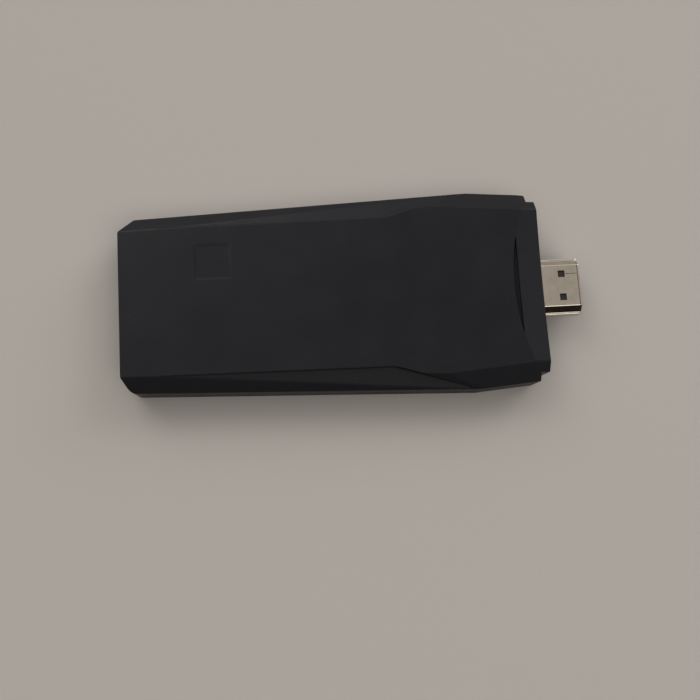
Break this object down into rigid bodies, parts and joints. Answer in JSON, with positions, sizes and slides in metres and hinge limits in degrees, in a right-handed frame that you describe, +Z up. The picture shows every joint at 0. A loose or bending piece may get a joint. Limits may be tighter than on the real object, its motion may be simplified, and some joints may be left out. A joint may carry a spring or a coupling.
{
  "type": "hdmi game stick",
  "caption": "Flat black stick-shaped game console with a faceted top cover, an HDMI plug on its nose, a USB port at its rear and a push-in memory card.",
  "frame": {"origin": "middle of the whole length and width, plug included, on the surface the stick lies on", "axes": "+X from the rear end to the HDMI plug, +Y to the long side with the power port and card slot, +Z up"},
  "size_m": [0.1094, 0.048, 0.012],
  "materials": {
    "black_plastic": "fine moulded texture, matte black",
    "nickel": "nickel plate, slightly warm",
    "port_steel": "plated sheet steel",
    "screw_steel": "zinc plated",
    "bare_aluminium": "extruded, bare",
    "contact_gold": "gold flash",
    "insulator": "black glass-filled plastic",
    "board_laminate": "green solder mask",
    "card_plastic": "satin black plastic",
    "chip_resin": "black moulding resin",
    "pad_silicone": "soft grey silicone",
    "ferrite": "pressed ferrite",
    "tank_resin": "yellow moulding resin",
    "ceramic": "tan fired ceramic",
    "lamp_resin": "clear resin"
  },
  "bodies": {
    "stick": {"top_cover": "black_plastic", "bottom_cover": "black_plastic", "main_board": "board_laminate", "board_screws": "screw_steel", "hdmi_shell": "nickel", "hdmi_carrier": "insulator", "hdmi_contacts": "contact_gold", "usb_port_shell": "port_steel", "usb_port_tongue": "insulator", "usb_port_contacts": "contact_gold", "power_port_shell": "port_steel", "power_port_tongue": "insulator", "power_port_contacts": "contact_gold", "ejector_spring": "screw_steel", "card_socket_cover": "port_steel", "card_socket_base": "insulator", "card_socket_contacts": "contact_gold", "processor": "chip_resin", "thermal_pad": "pad_silicone", "heat_spreader": "bare_aluminium", "memory_chips": "chip_resin", "storage_chip": "chip_resin", "crystal": "port_steel", "power_coils": "ferrite", "regulators": "chip_resin", "tank_capacitors": "tank_resin", "ceramic_capacitors": "ceramic", "chip_resistors": "chip_resin", "status_lamp": "lamp_resin"},
    "memory_card": {"memory_card": "card_plastic"},
    "card_ejector": {"card_ejector": "insulator"}
  },
  "joints": [
    {"name": "card_slide", "type": "slide", "parent": "stick", "child": "memory_card", "axis": [0, 1, 0], "range_m": [-0.0005, 0.003]},
    {"name": "ejector_slide", "type": "slide", "parent": "stick", "child": "card_ejector", "axis": [0, 1, 0], "range_m": [-0.0005, 0.003], "deforming": ["ejector_spring"]}
  ],
  "couplings": [
    {"joint": "ejector_slide", "follows": "card_slide", "ratio": 1}
  ]
}
